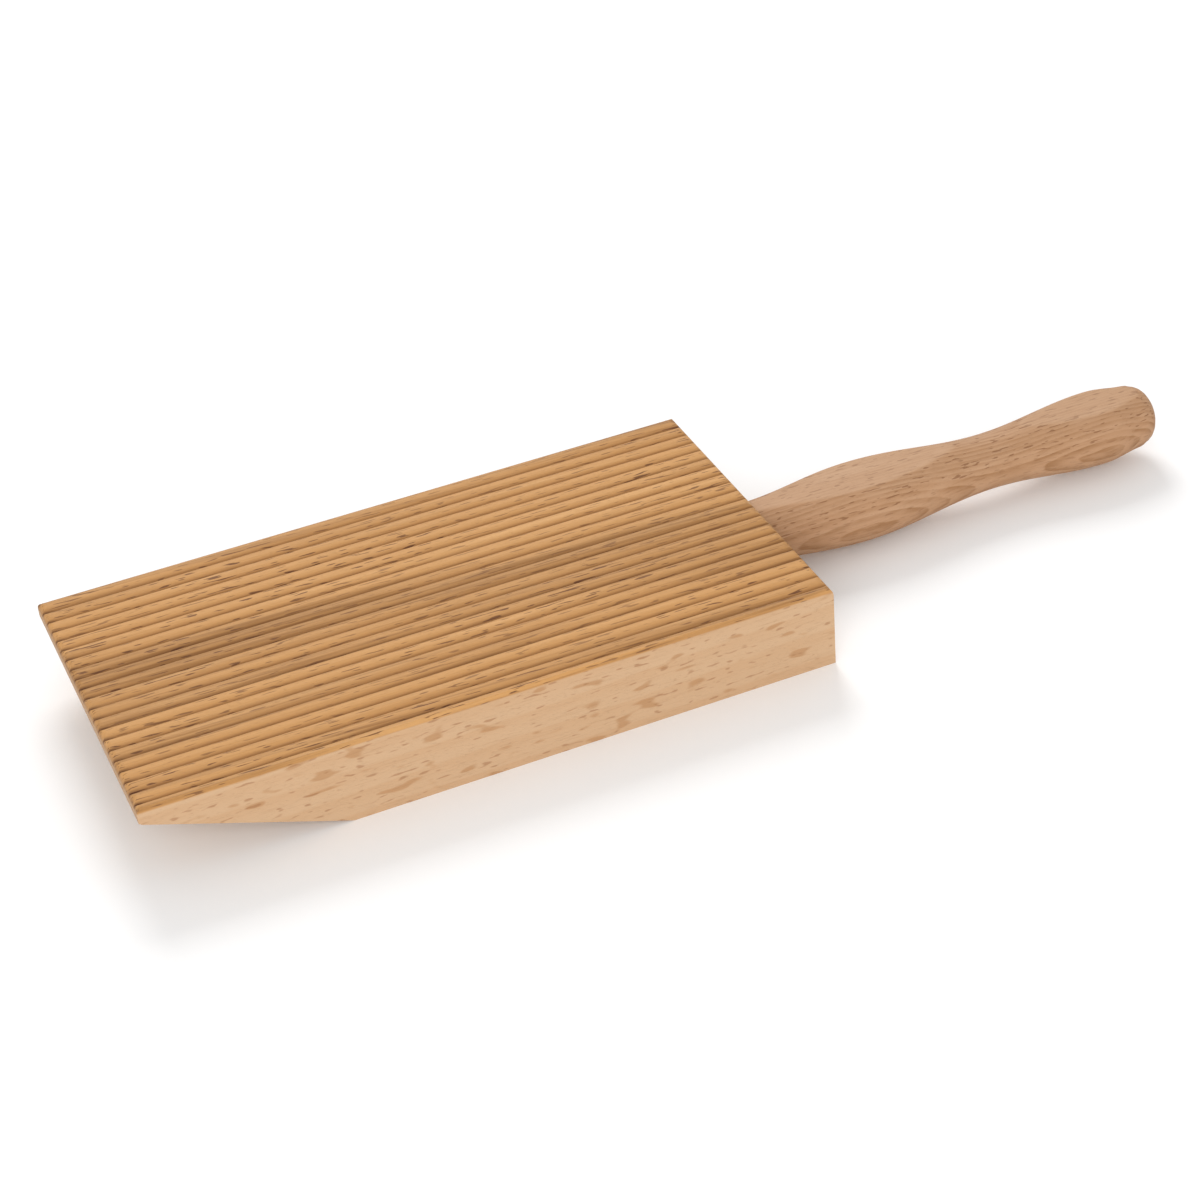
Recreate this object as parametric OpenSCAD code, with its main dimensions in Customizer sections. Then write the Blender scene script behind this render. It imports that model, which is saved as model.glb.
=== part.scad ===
// Gnocchi board: a grooved beech block with a shaped beech handle set into its rear end.
// Origin at the middle of the underside of the block's length, width and rest face.
// +X runs from the bevelled nose to the handle, +Y is the far side, +Z is up. Millimetres.

/* [Board] */
// Length of the grooved block
board_l = 200; // [150:1:260]
// Width of the block
board_w = 105; // [80:1:140]
// Thickness of the block over its ridges
board_t = 26; // [22:0.5:34]
// Length of the bevel under the nose
bevel_l = 56; // [30:1:90]
// Thickness left at the nose
nose_t = 5.4; // [4.5:0.1:9]
// Radius of the rolled top edge at the nose
nose_r = 2.2; // [1:0.1:3]
// Radius of the eased top edge at the rear
rear_r = 3; // [1:0.1:4]

/* [Ridges] */
// Distance from one groove to the next
ridge_pitch = 5.08; // [4:0.02:8]
// Depth of the grooves between the ridges
ridge_depth = 1.5; // [0.8:0.1:2.4]
// Width of the first ridge, on the far side
first_ridge_w = 5.8; // [4:0.1:8]

/* [Handle] */
// Length of the handle outside the block
handle_l = 136; // [110:1:170]
// Diameter of the handle where it meets the block
neck_d = 19.4; // [16:0.2:22]
// Diameter of the swell next to the block
front_swell_d = 24.6; // [22:0.2:30]
// Distance from the block to the middle of that swell
front_swell_x = 38; // [30:1:45]
// Diameter of the waist
waist_d = 17; // [15:0.2:20]
// Distance from the block to the waist
waist_x = 79; // [65:1:90]
// Diameter of the swell next to the end
rear_swell_d = 23; // [20:0.2:28]
// Distance from the block to the middle of the end swell
rear_swell_x = 112; // [100:1:118]
// Length of the rounded end
dome_l = 11; // [6:0.5:14]
// Thickness of the handle over its top and bottom flats
flat_t = 19; // [15:0.2:21]
// Height of the handle's axis above the underside of the block
handle_z = 13; // [12:0.5:16]

/* [Joint] */
// Diameter of the round tenon
tenon_d = 14; // [10:0.5:15]
// Length of the tenon inside the block
tenon_l = 32; // [20:1:45]
// Clearance around the tenon
tenon_gap = 0.1; // [0.05:0.05:0.3]
// Glue space past the end of the tenon
glue_space = 1.5; // [0.5:0.5:4]

/* [Hidden] */
$fn = 64;
nose_x = -board_l / 2;
rear_x = board_l / 2;
arc_steps = 10;
swell_steps = 14;
first_groove_y = board_w / 2 - first_ridge_w;
groove_n = floor((first_groove_y + board_w / 2) / ridge_pitch) + 1;
last_groove_y = first_groove_y - (groove_n - 1) * ridge_pitch;
last_ridge_w = last_groove_y + board_w / 2;

// Height of a round crown above its groove, at share t of a ridge of the given depth
function crown(t) = ridge_depth * sqrt(max(0, 1 - pow(2 * t - 1, 2)));
// Points across one whole ridge from y = from, going to the near side
function ridge_points(from, w) = [for (i = [0 : arc_steps])
    [from - w * (1 - cos(180 * i / arc_steps)) / 2,
     board_t - ridge_depth + crown((1 - cos(180 * i / arc_steps)) / 2)]];
// Points over the part ridge that runs into the near side face
function part_ridge_points() = [for (i = [0 : arc_steps])
    let (y = last_groove_y - last_ridge_w * i / arc_steps)
    [y, board_t - ridge_depth + crown(min(1, (last_groove_y - y) / ridge_pitch))]];
// Smooth run from a to b as t goes from 0 to 1
function swell(a, b, t) = a + (b - a) * (1 - cos(180 * t)) / 2;
function swell_points(x0, d0, x1, d1) = [for (i = [0 : swell_steps - 1])
    [swell(d0, d1, i / swell_steps) / 2, x0 + (x1 - x0) * i / swell_steps]];

// Cross-section of the block, with its ridges
module ridged_section() {
    polygon(concat(
        [[-board_w / 2, 0], [board_w / 2, 0]],
        ridge_points(board_w / 2, first_ridge_w),
        [for (g = [0 : groove_n - 2])
            for (p = ridge_points(first_groove_y - g * ridge_pitch, ridge_pitch)) p],
        part_ridge_points()));
}

// Side view of the block, with the bevel and the rolled ends
module side_profile() {
    polygon(concat(
        [[nose_x + bevel_l, 0], [rear_x, 0]],
        [for (i = [0 : arc_steps])
            [rear_x - rear_r + rear_r * cos(90 * i / arc_steps),
             board_t - rear_r + rear_r * sin(90 * i / arc_steps)]],
        [for (i = [0 : arc_steps])
            [nose_x + nose_r - nose_r * sin(90 * i / arc_steps),
             board_t - nose_r + nose_r * cos(90 * i / arc_steps)]],
        [[nose_x, board_t - nose_t + 0.6], [nose_x + 0.8, board_t - nose_t]]));
}

module board() {
    color("burlywood")
        difference() {
            intersection() {
                translate([nose_x - 1, 0, 0])
                    rotate([90, 0, 90])
                        linear_extrude(board_l + 2)
                            ridged_section();
                translate([0, board_w / 2 + 1, 0])
                    rotate([90, 0, 0])
                        linear_extrude(board_w + 2)
                            side_profile();
            }
            translate([rear_x - tenon_l - glue_space, 0, handle_z])
                rotate([0, 90, 0])
                    cylinder(h = tenon_l + glue_space + 1, d = tenon_d + 2 * tenon_gap);
        }
}

// Half outline of the turned handle, from its shoulder to the end
module handle_outline() {
    dome_x = handle_l - dome_l;
    dome_d = rear_swell_d - 1.4;
    polygon(concat(
        [[0, 0]],
        swell_points(0, neck_d, front_swell_x, front_swell_d),
        swell_points(front_swell_x, front_swell_d, waist_x, waist_d),
        swell_points(waist_x, waist_d, rear_swell_x, rear_swell_d),
        swell_points(rear_swell_x, rear_swell_d, dome_x, dome_d),
        [for (i = [0 : arc_steps])
            [dome_d / 2 * cos(90 * i / arc_steps), dome_x + dome_l * sin(90 * i / arc_steps)]]));
}

module handle() {
    color("tan")
        translate([rear_x, 0, handle_z])
            union() {
                intersection() {
                    rotate([0, 90, 0])
                        rotate_extrude()
                            handle_outline();
                    translate([-1, -front_swell_d, -flat_t / 2])
                        cube([handle_l + 2, 2 * front_swell_d, flat_t]);
                }
                translate([-tenon_l, 0, 0])
                    rotate([0, 90, 0])
                        cylinder(h = tenon_l + 1, d = tenon_d);
            }
}

board();
handle();
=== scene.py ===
# %% [markdown]
# This lesson dresses a wooden gnocchi board, a ridged beech block with a shaped beech handle.
# The solids come from the frame at their real size, so the lesson is about wood, light and the camera.

# %% Load the solids
import math

import bpy
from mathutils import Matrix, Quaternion, Vector


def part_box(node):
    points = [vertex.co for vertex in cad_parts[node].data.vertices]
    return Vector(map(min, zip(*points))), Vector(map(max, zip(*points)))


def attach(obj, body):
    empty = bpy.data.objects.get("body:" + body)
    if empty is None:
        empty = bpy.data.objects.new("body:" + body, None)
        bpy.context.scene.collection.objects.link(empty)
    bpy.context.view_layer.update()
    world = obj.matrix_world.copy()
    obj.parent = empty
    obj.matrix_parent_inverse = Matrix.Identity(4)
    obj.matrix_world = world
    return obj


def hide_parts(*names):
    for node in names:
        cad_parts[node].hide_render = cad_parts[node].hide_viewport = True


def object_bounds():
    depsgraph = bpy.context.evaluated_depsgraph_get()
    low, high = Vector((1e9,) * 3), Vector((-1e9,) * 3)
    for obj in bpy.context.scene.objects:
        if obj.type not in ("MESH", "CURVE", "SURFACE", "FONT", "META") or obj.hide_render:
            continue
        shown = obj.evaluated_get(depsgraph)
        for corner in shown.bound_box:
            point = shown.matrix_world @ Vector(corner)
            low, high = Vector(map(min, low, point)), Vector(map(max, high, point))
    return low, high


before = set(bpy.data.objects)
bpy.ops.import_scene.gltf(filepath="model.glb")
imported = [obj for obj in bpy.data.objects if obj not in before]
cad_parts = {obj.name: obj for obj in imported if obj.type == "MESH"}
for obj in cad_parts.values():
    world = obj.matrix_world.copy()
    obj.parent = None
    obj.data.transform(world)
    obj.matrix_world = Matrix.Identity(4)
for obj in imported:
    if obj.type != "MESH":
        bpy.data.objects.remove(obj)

solid_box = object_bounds()
board_low, board_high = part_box("board")
handle_low, handle_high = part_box("handle")
print("board from", tuple(board_low), "to", tuple(board_high))

# %% [markdown]
# Shader maths reads best as plain expressions. One small class wraps a socket, so that a sum or
# a product of two wires adds its Math node by itself, and one method adds any other node.

# %% A wire for shader maths
class Wire:
    """One value in a material's node tree."""

    def __init__(self, tree, socket=None):
        self.tree = tree
        self.socket = socket

    def node(self, kind, settings=None, inputs=None, output=0):
        made = self.tree.nodes.new(kind)
        for name, value in (settings or {}).items():
            setattr(made, name, value)
        for name, value in (inputs or {}).items():
            if isinstance(value, Wire):
                self.tree.links.new(value.socket, made.inputs[name])
            else:
                made.inputs[name].default_value = value
        return Wire(self.tree, made.outputs[output])

    def maths(self, operation, first, second=0.0):
        return self.node("ShaderNodeMath", {"operation": operation}, {0: first, 1: second})

    def __add__(self, other):
        return self.maths("ADD", self, other)

    def __sub__(self, other):
        return self.maths("SUBTRACT", self, other)

    def __rsub__(self, other):
        return self.maths("SUBTRACT", other, self)

    def __mul__(self, other):
        return self.maths("MULTIPLY", self, other)

    __radd__ = __add__
    __rmul__ = __mul__

    def step(self, low, high):
        """0 below low, 1 above high and a smooth rise between them."""
        return self.node("ShaderNodeMapRange", {"interpolation_type": "SMOOTHSTEP"},
                         {"Value": self, "From Min": low, "From Max": high})

    def noise(self, scale, detail=3.0, shift=(0.0, 0.0, 0.0)):
        """Noise on this position, with a scale along each axis in waves a metre."""
        place = self.node("ShaderNodeMapping", None,
                          {"Vector": self, "Scale": scale, "Location": shift})
        return self.node("ShaderNodeTexNoise", None,
                         {"Vector": place, "Scale": 1.0, "Detail": detail})

    def axis(self, number):
        """One coordinate of this position: 0 along the board, 1 across it, 2 up."""
        return self.node("ShaderNodeSeparateXYZ", None, {0: self}, output=number)

    def tint(self, colour, share):
        """This colour moved towards another one by a share."""
        return self.node("ShaderNodeMix", {"data_type": "RGBA"},
                         {0: share, 6: self, 7: colour}, output=2)


# %% [markdown]
# Beech shows growth rings, which read as broad streaks along a board and as arcs where the
# surface is tangent to them, fine fibres, and short dark ray flecks. Each is noise stretched
# along the grain. A ring is a distance to the heart of the tree, which lies outside the piece,
# so streaks and arcs meet at the edges as they do in real wood. The functions below each give
# one of these as a wire from 0 to 1.

# %% Grain, one part at a time
GRAIN_TURN = math.radians(1.6)
RING_STRETCH = 0.02
RELIEF_DEPTH = 0.00025


def wood_place(wire, heart):
    """The position along the grain, seen from the heart of the tree."""
    place = wire.node("ShaderNodeTexCoord", output="Object")
    return wire.node("ShaderNodeMapping", None,
                     {"Vector": place, "Location": tuple(-v for v in heart),
                      "Rotation": (0.0, 0.0, GRAIN_TURN)})


def growth_rings(place, ring_gap, drift):
    """Darker towards the end of each year's wood, then back to pale at once."""
    stretched = place.node("ShaderNodeMapping", None,
                           {"Vector": place, "Scale": (RING_STRETCH, 1.0, 1.0)})
    distance = place.node("ShaderNodeVectorMath", {"operation": "LENGTH"}, {0: stretched},
                          output="Value")
    turns = distance * (1.0 / ring_gap) + drift
    late_wood = place.maths("FRACT", turns)
    return late_wood.step(0.1, 0.88) * (1.0 - late_wood.step(0.90, 1.0))


def blend_in(shader, colour):
    """The finished colour goes to the shader."""
    colour.tree.links.new(colour.socket, shader.inputs["Base Color"])


def start_material(name, specular):
    """A new material, its shader and a first wire into its tree."""
    material = bpy.data.materials.new(name)
    material.use_nodes = True
    shader = material.node_tree.nodes["Principled BSDF"]
    shader.inputs["Specular IOR Level"].default_value = specular
    return material, shader, Wire(material.node_tree)


def wood_surface(wire, shader, fibre, pores, flecks):
    """Sheen and relief of bare sanded wood: fibres stand up, pores and flecks sink in."""
    rough = 0.54 + fibre * 0.16 + flecks * 0.08
    wire.tree.links.new(rough.socket, shader.inputs["Roughness"])
    relief = fibre * 0.8 - pores * 0.7 - flecks * 0.3
    bump = wire.node("ShaderNodeBump", None,
                     {"Height": relief, "Strength": 0.45, "Distance": RELIEF_DEPTH})
    wire.tree.links.new(bump.socket, shader.inputs["Normal"])


# %% [markdown]
# The block is one piece of beech, but its top and its sides look different. The ridged top is
# golden with brown bands that cross the ridges at a slight slant. Painted shade darkens the near
# flank of each ridge and the bottom of each groove, more near the rolled nose. The sides are
# paler and pinker, with wide soft oval flecks. A mask by height tells the two apart, and the
# pitch of the ridges places the painted shade in each groove.

# %% The wood of the block
RIDGE_PITCH = 0.00508
FIRST_RIDGE = 0.0058
RIDGE_DEPTH = 0.0015
NOSE_DARK = 0.0008
NOSE_PLAIN = 0.0045
SKIN_LOW = 0.0006
SKIN_HIGH = 0.0001
BOARD_RING_GAP = 0.0066
board_heart = (0.0, 0.02, -0.095)
groove_floor = board_high[2] - RIDGE_DEPTH


def groove_count(across):
    """How many ridges lie between the first groove and this place, with its fraction."""
    return (board_high[1] - FIRST_RIDGE - across) * (1.0 / RIDGE_PITCH)


def groove_line(wire, across):
    """1 in the bottom of each groove, falling to 0 on the flanks."""
    turns = groove_count(across)
    side = wire.maths("ABSOLUTE", wire.maths("FRACT", turns + 0.5) - 0.5)
    return 1.0 - side.step(0.02, 0.20)


def near_flank_shade(wire, across):
    """1 on the near half of each ridge, just before its groove, where shade is painted."""
    share = wire.maths("FRACT", groove_count(across) + 10.0)
    return share.step(0.45, 0.92)


def block_wood():
    """Golden on the ridged top, paler and pinker on the sides."""
    material, shader, wire = start_material("board_beech", 0.28)
    plain = wire.node("ShaderNodeTexCoord", output="Object")
    along = plain.axis(0)
    # The rolled nose, where the painted shade in the grooves is deeper.
    nose = 1.0 - along.step(board_low[0] + NOSE_DARK, board_low[0] + NOSE_PLAIN)
    across = plain.axis(1)
    height = plain.axis(2)
    top = height.step(groove_floor - SKIN_LOW, groove_floor + SKIN_HIGH)
    facing = wire.node("ShaderNodeTexCoord", output="Normal")
    end_face = wire.maths("ABSOLUTE", facing.axis(0)).step(0.7, 0.95)

    place = wood_place(wire, board_heart)
    drift = place.noise((4.0, 26.0, 26.0), 2.0)
    band = place.noise((3.2, 42.0, 42.0), 3.0, (1.3, 4.0, 0.0))
    streak = place.noise((9.0, 330.0, 330.0), 4.0, (3.1, 0.0, 0.0))
    line = place.noise((16.0, 1000.0, 1000.0), 3.0, (0.0, 2.0, 6.0)).step(0.42, 0.70)
    fibre = place.noise((60.0, 2200.0, 2200.0), 4.0)
    pores = place.noise((700.0, 3800.0, 3800.0), 1.0).step(0.60, 0.78)
    fleck_field = place.noise((190.0, 1900.0, 1500.0), 0.4, (0.0, 7.0, 0.0))
    cluster = place.noise((14.0, 60.0, 60.0), 1.0, (5.0, 1.0, 2.0)).step(0.35, 0.65)
    flecks = fleck_field.step(0.645, 0.71) * (0.55 + cluster * 0.45)
    oval = plain.noise((130.0, 300.0, 430.0), 0.4, (2.0, 0.0, 9.0)).step(0.64, 0.76)
    small_oval = plain.noise((260.0, 500.0, 900.0), 0.5, (8.0, 0.0, 1.0)).step(0.65, 0.75)
    rings = growth_rings(place, BOARD_RING_GAP, drift * 1.3 + streak * 0.25)

    gold = wire.node("ShaderNodeRGB")
    gold.socket.default_value = (0.552, 0.283, 0.096, 1.0)
    gold = gold.tint((0.645, 0.355, 0.137, 1.0), streak.step(0.50, 0.72) * 0.8)
    gold = gold.tint((0.285, 0.130, 0.035, 1.0), band.step(0.47, 0.64) * (0.45 + line * 0.55))
    late_wood = rings * streak.step(0.30, 0.62) * (0.30 + line * 0.55)
    gold = gold.tint((0.250, 0.110, 0.030, 1.0), late_wood)
    # Painted shade: the near flank of each ridge, turned away from the far lamp, is darkened.
    gold = gold.tint((0.225, 0.097, 0.031, 1.0), near_flank_shade(wire, across) * 0.16)
    # Painted shade: the bottom of each groove is darkened, more near the rolled nose.
    painted_groove_shade = groove_line(wire, across) * (0.24 + nose * 0.55 + streak * 0.12)
    gold = gold.tint((0.147, 0.059, 0.022, 1.0), painted_groove_shade)
    gold = gold.tint((0.103, 0.034, 0.016, 1.0), flecks * 0.80)

    pale = wire.node("ShaderNodeRGB")
    pale.socket.default_value = (0.563, 0.367, 0.215, 1.0)
    pale = pale.tint((0.506, 0.288, 0.143, 1.0), rings * 0.30 + band.step(0.5, 0.8) * 0.25)
    pale = pale.tint((0.597, 0.423, 0.279, 1.0), drift.step(0.5, 0.75) * 0.45)
    pale = pale.tint((0.406, 0.202, 0.079, 1.0), oval * 0.62)
    pale = pale.tint((0.322, 0.150, 0.064, 1.0), small_oval * 0.60)

    colour = pale.tint(gold, top)
    colour = colour.tint((0.40, 0.215, 0.095, 1.0), end_face * 0.42)
    colour = colour.tint((0.36, 0.19, 0.085, 1.0), fibre.step(0.52, 0.80) * 0.30)
    colour = colour.tint((0.33, 0.18, 0.085, 1.0), pores * 0.14)
    blend_in(shader, colour)
    wood_surface(wire, shader, fibre, pores, flecks)
    return material


# %% [markdown]
# The handle is a pinker, calmer piece. Its rings are fine. They show as straight lines and
# dashes on its upper part, and as nested arcs low on the near side, where the swell of the
# handle is tangent to them. One pattern of rings gives both, because its heart lies low and
# beside the handle, and a mask by height lets the dashes fade and the arcs come out.

# %% The wood of the handle
handle_heart = (0.17, -0.060, -0.004)
HANDLE_RING_GAP = 0.0013
FLAT_HALF = 0.0093
FLAT_EDGE_LOW = 0.00035
FLAT_EDGE_HIGH = 0.00010
LOW_PART_FULL = 0.0022
LOW_PART_END = 0.0028
axis_height = (handle_low[2] + handle_high[2]) / 2


def grip_wood():
    """Pinkish beech with fine rings, dashes above and arcs below."""
    material, shader, wire = start_material("handle_beech", 0.26)
    plain = wire.node("ShaderNodeTexCoord", output="Object")
    place = wood_place(wire, handle_heart)
    drift = place.noise((6.0, 40.0, 40.0), 2.0)
    mottle = place.noise((30.0, 160.0, 160.0), 3.0, (2.0, 3.0, 0.0))
    fibre = place.noise((60.0, 2000.0, 2000.0), 4.0)
    pores = place.noise((800.0, 3600.0, 3600.0), 1.0).step(0.60, 0.76)
    dash = place.noise((260.0, 1400.0, 1700.0), 0.6, (0.0, 7.0, 3.0)).step(0.63, 0.70)
    breaks = place.noise((110.0, 420.0, 420.0), 2.0, (4.0, 4.0, 0.0)).step(0.34, 0.62)
    height = plain.axis(2)
    from_axis = wire.maths("ABSOLUTE", height - axis_height)
    flat = from_axis.step(FLAT_HALF - FLAT_EDGE_LOW, FLAT_HALF - FLAT_EDGE_HIGH)
    rings = growth_rings(place, HANDLE_RING_GAP, drift * 1.6 + mottle * 1.1)
    low_part = 1.0 - height.step(axis_height + LOW_PART_FULL, axis_height + LOW_PART_END)
    rings = rings * (0.35 + breaks * 0.65) * (1.0 - flat * 0.35)

    colour = wire.node("ShaderNodeRGB")
    colour.socket.default_value = (0.459, 0.259, 0.139, 1.0)
    colour = colour.tint((0.525, 0.323, 0.194, 1.0), mottle.step(0.45, 0.70) * 0.60)
    colour = colour.tint((0.303, 0.146, 0.058, 1.0), rings * (0.50 + low_part * 0.32))
    colour = colour.tint((0.209, 0.090, 0.037, 1.0), dash * (0.70 - low_part * 0.42))
    colour = colour.tint((0.56, 0.36, 0.225, 1.0), flat * 0.30)
    colour = colour.tint((0.287, 0.143, 0.068, 1.0), fibre.step(0.50, 0.78) * 0.34 + pores * 0.14)
    blend_in(shader, colour)
    wood_surface(wire, shader, fibre, pores, dash)
    return material


# %% [markdown]
# The block keeps the mesh of its solid, which has every ridge already, and only gets its wood.
# The handle's wood waits for the grip that is modelled next.

# %% Give the block its wood
board_wood = block_wood()
handle_wood = grip_wood()
board_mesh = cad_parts["board"].data
board_mesh.materials.clear()
board_mesh.materials.append(board_wood)
print("board wood has", len(board_wood.node_tree.nodes), "nodes")
print("handle wood has", len(handle_wood.node_tree.nodes), "nodes")

# %% [markdown]
# The grip is turned, then flattened on top and underneath, and its end keeps the small proud
# button that the lathe leaves. It is drawn here as by hand: a circle at the shoulder, extruded
# ring by ring and scaled to the radius at each place, then pressed flat twice. It starts a
# little inside the block, on the tenon's line, so that no gap shows at the joint. The solid
# handle could be kept instead, but its flats are a little too far apart and it has no button.

# %% Radius along the grip
GRIP_STATIONS = ((0.000, 0.0095), (0.035, 0.0122), (0.079, 0.0085), (0.117, 0.0114),
                 (0.1305, 0.0098))
BUTTON_START = 0.1310
BUTTON_RADIUS = 0.0091
GRIP_SIDES = 160
RING_STEP = 0.001
BUTTON_RINGS = 8
grip_start = board_high[0]
grip_end = handle_high[0] - grip_start


def grip_radius(along):
    """Radius of the turned grip at a distance from the block."""
    for (low, low_radius), (high, high_radius) in zip(GRIP_STATIONS, GRIP_STATIONS[1:]):
        if along <= high:
            share = max(0.0, (along - low) / (high - low))
            ease = (1 - math.cos(math.pi * share)) / 2
            return low_radius + (high_radius - low_radius) * ease
    share = (along - BUTTON_START) / (grip_end - BUTTON_START)
    share = min(1.0, max(0.0, share))
    return BUTTON_RADIUS * math.sqrt(1 - share * share)


def ring_places():
    """Places of the rings: even along the grip, closer over the round button."""
    count = int(GRIP_STATIONS[-1][0] / RING_STEP)
    body = [RING_STEP * i for i in range(count + 1)]
    reach = grip_end - BUTTON_START
    button = [BUTTON_START + reach * math.sin(math.pi / 2 * i / BUTTON_RINGS)
              for i in range(BUTTON_RINGS + 1)]
    return body + button


print("the grip is", round(grip_end, 4), "m long and has", len(ring_places()), "rings")


# %% Model the grip
BURIED = 0.001
END_POINT = 0.0004
bpy.ops.object.select_all(action="DESELECT")
bpy.ops.mesh.primitive_circle_add(vertices=GRIP_SIDES, radius=grip_radius(0.0), fill_type="NGON",
                                  location=(grip_start - BURIED, 0.0, axis_height),
                                  rotation=(0.0, math.pi / 2, 0.0))
grip = bpy.context.object
grip.name = "grip"
bpy.ops.object.transform_apply(location=True, rotation=True, scale=True)
bpy.ops.object.mode_set(mode="EDIT")
bpy.ops.mesh.select_all(action="SELECT")
last_place = -BURIED
last_radius = grip_radius(0.0)
for ring_place in ring_places():
    ring_radius = max(END_POINT, grip_radius(ring_place))
    bpy.ops.mesh.extrude_region_move(
        TRANSFORM_OT_translate={"value": (ring_place - last_place, 0.0, 0.0)})
    ratio = ring_radius / last_radius
    bpy.ops.transform.resize(value=(1.0, ratio, ratio),
                             center_override=(grip_start + ring_place, 0.0, axis_height))
    last_place = ring_place
    last_radius = ring_radius
bpy.ops.object.mode_set(mode="OBJECT")

# %% [markdown]
# A flat is made as in any modeller: what stands above it is selected and scaled to nothing
# along Z, about the height of the flat. A little smoothing then softens its rim, as sandpaper
# does on the real grip.

# %% Press the two flats
SOFTEN_PASSES = 2
for side in (1, -1):
    flat_height = axis_height + side * FLAT_HALF
    bpy.ops.object.mode_set(mode="EDIT")
    bpy.ops.mesh.select_all(action="DESELECT")
    bpy.ops.object.mode_set(mode="OBJECT")
    for vertex in grip.data.vertices:
        vertex.select = side * (vertex.co.z - flat_height) > 0
    bpy.ops.object.mode_set(mode="EDIT")
    bpy.ops.transform.resize(value=(1.0, 1.0, 0.0),
                             center_override=(grip_start, 0.0, flat_height))
bpy.ops.mesh.select_all(action="SELECT")
bpy.ops.mesh.vertices_smooth(factor=0.5, repeat=SOFTEN_PASSES)
bpy.ops.mesh.normals_make_consistent(inside=False)
bpy.ops.object.mode_set(mode="OBJECT")
bpy.ops.object.shade_smooth()
grip.data.materials.append(handle_wood)
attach(grip, "root")
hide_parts("handle")
print("grip has", len(grip.data.polygons), "faces")

# %% [markdown]
# The floor is a plain pale sheet, wide enough to fill every view. Near the board it is lit and
# keeps the shadow. Farther out it fades to white, for the camera alone, so that no horizon
# shows and no more light falls on the wood.

# %% The floor
FLOOR_HALF = 4.0
NEAR_FLOOR = 0.35
FAR_FLOOR = 0.9
bpy.ops.object.select_all(action="DESELECT")
bpy.ops.mesh.primitive_plane_add(size=2 * FLOOR_HALF, location=(0, 0, solid_box[0][2]))
floor = bpy.context.object
floor.name = "floor"
floor_paint = bpy.data.materials.new("pale_floor")
floor_paint.use_nodes = True
floor_shader = floor_paint.node_tree.nodes["Principled BSDF"]
floor_shader.inputs["Base Color"].default_value = (0.93, 0.93, 0.93, 1.0)
floor_shader.inputs["Roughness"].default_value = 0.9
floor.data.materials.append(floor_paint)
floor_wire = Wire(floor_paint.node_tree)
floor_place = floor_wire.node("ShaderNodeTexCoord", output="Object")
away = floor_wire.node("ShaderNodeVectorMath", {"operation": "LENGTH"}, {0: floor_place},
                       output="Value")
seen = floor_wire.node("ShaderNodeLightPath", output="Is Camera Ray")
glow = floor_wire.node("ShaderNodeEmission", None, {"Color": (1.0, 1.0, 1.0, 1.0)})
lit = Wire(floor_paint.node_tree, floor_shader.outputs[0])
far_white = away.step(NEAR_FLOOR, FAR_FLOOR) * seen
floor_mix = floor_wire.node("ShaderNodeMixShader", None, {0: far_white, 1: lit, 2: glow})
floor_out = floor_paint.node_tree.nodes["Material Output"]
floor_paint.node_tree.links.new(floor_mix.socket, floor_out.inputs["Surface"])
print("the floor is white from", FAR_FLOOR, "m outwards")

# %% [markdown]
# One broad lamp stands high on the far side and picks out the far flank of every ridge. A
# broader one on the near side lights the long side, and the pale world keeps the shadows soft.

# %% Light
LAMP_POWER = 13.0
LAMP_AIM = (0.05, 0.0, 0.0)
SKY_STRENGTH = 0.70


def lamp(name, place, size):
    """A square lamp at a place, turned to the middle of the board."""
    data = bpy.data.lights.new(name, "AREA")
    data.size = size
    data.energy = LAMP_POWER
    made = bpy.data.objects.new(name, data)
    bpy.context.collection.objects.link(made)
    made.location = place
    made.rotation_euler = (Vector(LAMP_AIM) - Vector(place)).to_track_quat("-Z", "Y").to_euler()


lamp("far_key", (0.3, 1.2, 1.1), 0.7)
lamp("near_fill", (-0.5, -1.3, 0.7), 1.2)
world = bpy.data.worlds.new("pale_room")
bpy.context.scene.world = world
world.use_nodes = True
sky = world.node_tree.nodes["Background"]
sky.inputs["Color"].default_value = (1.0, 1.0, 1.0, 1.0)
sky_wire = Wire(world.node_tree)
sky_seen = sky_wire.node("ShaderNodeLightPath", output="Is Camera Ray")
sky_light = sky_seen * (1.0 - SKY_STRENGTH) + SKY_STRENGTH
world.node_tree.links.new(sky_light.socket, sky.inputs["Strength"])
print("two lamps of", LAMP_POWER, "W and a sky of strength", SKY_STRENGTH)

# %% [markdown]
# The camera stands where the photographer's did: above and in front of the near long side,
# turned a little to the right and tilted by a few degrees.

# %% Camera
CAMERA_PLACE = (-0.1770, -0.6052, 0.4587)
CAMERA_TURN = math.radians(-20.63)
CAMERA_DOWN = math.radians(34.97)
CAMERA_ROLL = math.radians(-5.15)
CAMERA_LENS = 81.73
SENSOR_WIDTH = 36.0
camera_data = bpy.data.cameras.new("camera")
camera_data.lens = CAMERA_LENS
camera_data.sensor_width = SENSOR_WIDTH
camera_data.clip_start = 0.01
camera = bpy.data.objects.new("camera", camera_data)
bpy.context.collection.objects.link(camera)
camera.location = CAMERA_PLACE
view_line = Vector((-math.sin(CAMERA_TURN) * math.cos(CAMERA_DOWN),
                    math.cos(CAMERA_TURN) * math.cos(CAMERA_DOWN),
                    -math.sin(CAMERA_DOWN)))
level_turn = view_line.to_track_quat("-Z", "Y")
camera.rotation_euler = (level_turn @ Quaternion((0, 0, 1), CAMERA_ROLL)).to_euler()
bpy.context.scene.camera = camera
bpy.context.scene.view_settings.view_transform = "Standard"
print("the camera stands", round(Vector(CAMERA_PLACE).length, 3), "m from the origin")
